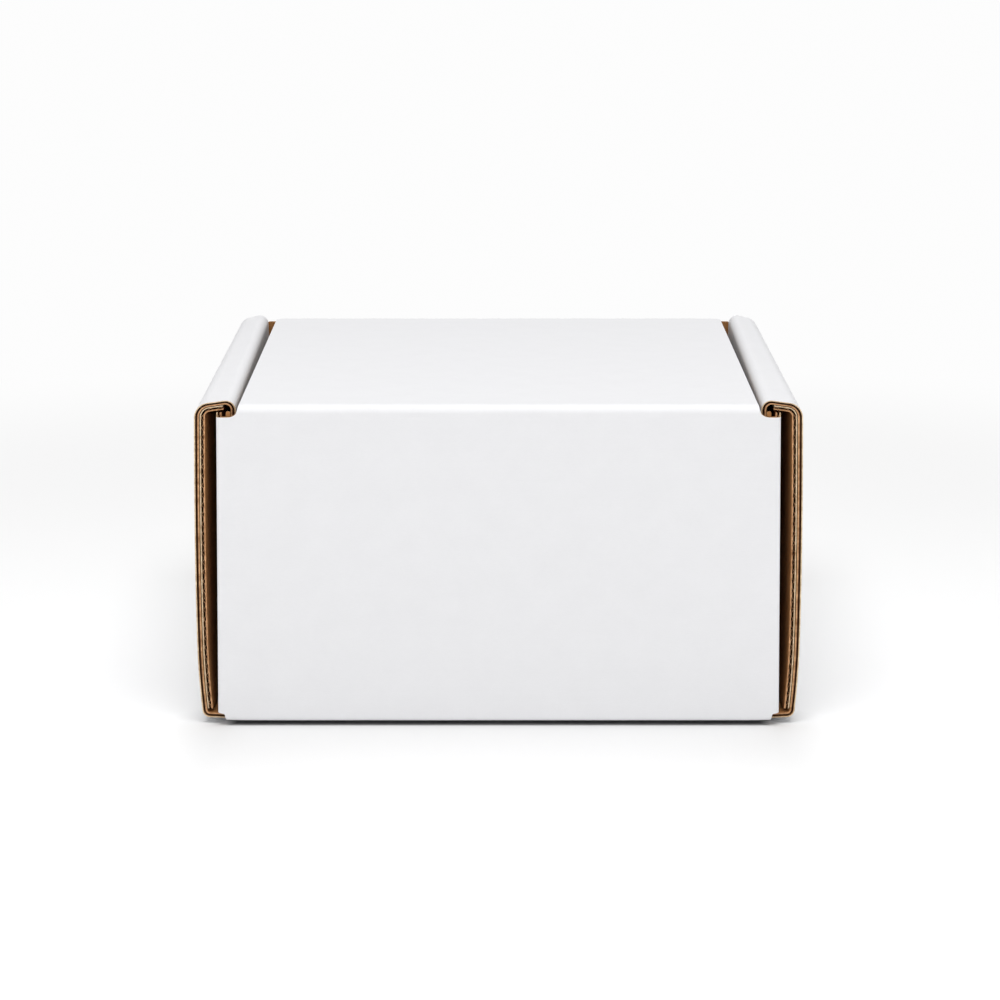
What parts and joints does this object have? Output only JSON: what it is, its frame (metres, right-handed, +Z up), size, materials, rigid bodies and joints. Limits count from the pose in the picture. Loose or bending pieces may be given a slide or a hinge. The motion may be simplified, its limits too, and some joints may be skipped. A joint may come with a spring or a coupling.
{
  "type": "corrugated mailer box",
  "caption": "Folded corrugated mailer box with rolled side walls and a hinged lid that tucks in at the front.",
  "frame": {"origin": "on the floor, under the middle of the closed box", "axes": "+X across the box along the hinge, +Y from the rear wall with the hinge to the front wall, +Z up"},
  "size_m": [0.2084, 0.185, 0.1142],
  "materials": {
    "tray_board": "white coated liner outside, kraft liner inside, matt",
    "lid_board": "white coated liner outside, kraft liner inside, matt"
  },
  "bodies": {
    "tray": {"tray": "tray_board"},
    "lid": {"lid": "lid_board"}
  },
  "joints": [
    {"name": "lid_hinge", "type": "hinge", "parent": "tray", "child": "lid", "pos_m": [0, -0.0927, 0.11005], "axis": [1, 0, 0], "range_deg": [0, 180]}
  ]
}
